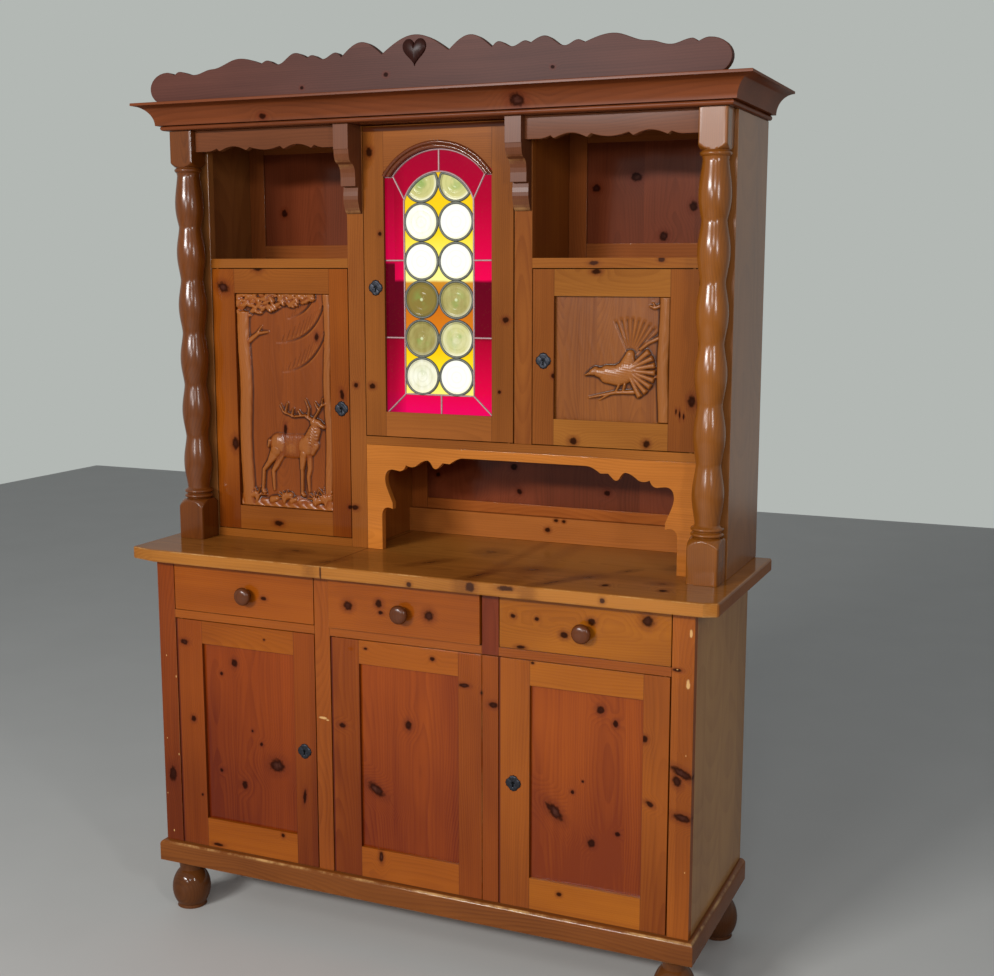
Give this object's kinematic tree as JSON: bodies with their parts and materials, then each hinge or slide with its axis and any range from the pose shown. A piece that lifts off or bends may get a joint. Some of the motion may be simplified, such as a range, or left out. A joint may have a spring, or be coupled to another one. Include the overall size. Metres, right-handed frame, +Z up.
{
  "type": "buffet cabinet",
  "caption": "Tall rustic knotty-pine buffet: drawers and panelled doors below a worktop, carved and leaded-glass cupboards with open niches above, cornice and scalloped pediment on top.",
  "frame": {"origin": "centre of the bounding box on the floor, under the feet", "axes": "+X to the viewer's right, +Y to the wall behind, +Z up; the doors and drawers face -Y"},
  "size_m": [1.476, 0.492, 2.073],
  "materials": {
    "pine_frame": "glossy honey lacquer on knotty pine",
    "pine_panel": "glossy reddish lacquer on knotty pine",
    "pine_worktop": "glossy honey lacquer, edges worn light",
    "pine_turned": "turned and glossy lacquered",
    "pine_crown": "darker brown lacquer",
    "pine_inside": "thinly lacquered",
    "leaded_glass": "coloured bullseye glass in lead cames"
  },
  "bodies": {
    "carcass": {"bun_foot_front_left": "pine_turned", "bun_foot_front_right": "pine_turned", "bun_foot_back_left": "pine_turned", "bun_foot_back_right": "pine_turned", "plinth_moulding": "pine_frame", "base_bottom": "pine_frame", "base_side_left": "pine_frame", "base_side_right": "pine_frame", "base_stile_left": "pine_frame", "base_stile_right": "pine_frame", "base_back": "pine_inside", "base_partition": "pine_frame", "drawer_divider": "pine_frame", "drawer_deck": "pine_frame", "base_shelf_left": "pine_inside", "base_shelf_right": "pine_inside", "worktop": "pine_worktop", "upper_side_left": "pine_frame", "upper_side_right": "pine_frame", "upper_back": "pine_inside", "upper_partition_left": "pine_frame", "upper_partition_right": "pine_frame", "left_cupboard_floor": "pine_frame", "centre_floor": "pine_frame", "niche_floor_left": "pine_frame", "niche_floor_right": "pine_frame", "glass_cupboard_shelf": "pine_inside", "roof_board": "pine_crown", "niche_apron": "pine_frame", "niche_skirting": "pine_frame", "column_left": "pine_turned", "column_right": "pine_turned", "corbel_left": "pine_frame", "corbel_right": "pine_frame", "valance_left": "pine_frame", "valance_right": "pine_frame", "cornice": "pine_frame", "pediment": "pine_crown"},
    "drawer_left": {"drawer_left_front": "pine_frame", "drawer_left_box": "pine_inside", "drawer_left_knob": "pine_turned"},
    "drawer_centre": {"drawer_centre_front": "pine_frame", "drawer_centre_box": "pine_inside", "drawer_centre_knob": "pine_turned"},
    "drawer_right": {"drawer_right_front": "pine_frame", "drawer_right_box": "pine_inside", "drawer_right_knob": "pine_turned"},
    "base_door_left": {"base_door_left_frame": "pine_frame", "base_door_left_panel": "pine_panel"},
    "base_door_centre": {"base_door_centre_frame": "pine_frame", "base_door_centre_panel": "pine_panel"},
    "base_door_right": {"base_door_right_frame": "pine_frame", "base_door_right_panel": "pine_panel"},
    "upper_door_left": {"upper_door_left_frame": "pine_frame", "upper_door_left_panel": "pine_panel"},
    "glass_door": {"glass_door_frame": "pine_frame", "glass_door_glass": "leaded_glass"},
    "upper_door_right": {"upper_door_right_frame": "pine_frame", "upper_door_right_panel": "pine_panel"}
  },
  "joints": [
    {"name": "drawer_left_slide", "type": "slide", "parent": "carcass", "child": "drawer_left", "axis": [0, -1, 0], "range_m": [0, 0.3]},
    {"name": "drawer_centre_slide", "type": "slide", "parent": "carcass", "child": "drawer_centre", "axis": [0, -1, 0], "range_m": [-0.008, 0.292]},
    {"name": "drawer_right_slide", "type": "slide", "parent": "carcass", "child": "drawer_right", "axis": [0, -1, 0], "range_m": [0, 0.3]},
    {"name": "base_door_left_hinge", "type": "hinge", "parent": "carcass", "child": "base_door_left", "pos_m": [-0.603, -0.203, 0.465], "axis": [0, 0, -1], "range_deg": [0, 110]},
    {"name": "base_door_centre_hinge", "type": "hinge", "parent": "carcass", "child": "base_door_centre", "pos_m": [-0.1755, -0.203, 0.465], "axis": [0, 0, -1], "range_deg": [0, 110]},
    {"name": "base_door_right_hinge", "type": "hinge", "parent": "carcass", "child": "base_door_right", "pos_m": [0.603, -0.203, 0.465], "axis": [0, 0, 1], "range_deg": [0, 110]},
    {"name": "upper_door_left_hinge", "type": "hinge", "parent": "carcass", "child": "upper_door_left", "pos_m": [-0.596, -0.02, 1.26], "axis": [0, 0, -1], "range_deg": [0, 95]},
    {"name": "glass_door_hinge", "type": "hinge", "parent": "carcass", "child": "glass_door", "pos_m": [0.174, -0.02, 1.545], "axis": [0, 0, 1], "range_deg": [0, 95]},
    {"name": "upper_door_right_hinge", "type": "hinge", "parent": "carcass", "child": "upper_door_right", "pos_m": [0.596, -0.02, 1.385], "axis": [0, 0, 1], "range_deg": [0, 95]}
  ]
}
